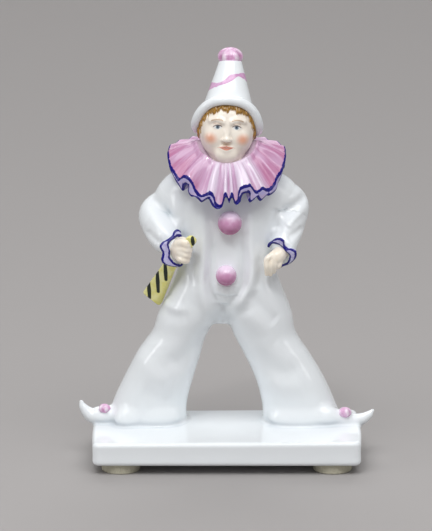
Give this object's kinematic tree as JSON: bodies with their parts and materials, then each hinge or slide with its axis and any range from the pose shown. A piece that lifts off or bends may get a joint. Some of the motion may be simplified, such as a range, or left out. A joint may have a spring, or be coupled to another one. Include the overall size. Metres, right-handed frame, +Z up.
{
  "type": "clown figurine",
  "caption": "Glazed porcelain figurine of a clown in a loose white suit with a pleated pink collar and tall hat, legs apart on a rectangular slab with felt pads.",
  "frame": {"origin": "centre of the footprint at table height", "axes": "+Z up, +X towards the viewer's right as the clown faces the viewer, +Y towards its back"},
  "size_m": [0.1426, 0.0578, 0.1987],
  "materials": {
    "white_glazed_porcelain": "glossy white glaze with pink, cobalt blue, yellow, brown and flesh painting",
    "felt": "matt cream felt"
  },
  "bodies": {
    "root": {"clown_figurine": "white_glazed_porcelain", "felt_pad_front_left": "felt", "felt_pad_front_right": "felt", "felt_pad_back_left": "felt", "felt_pad_back_right": "felt"}
  },
  "joints": []
}
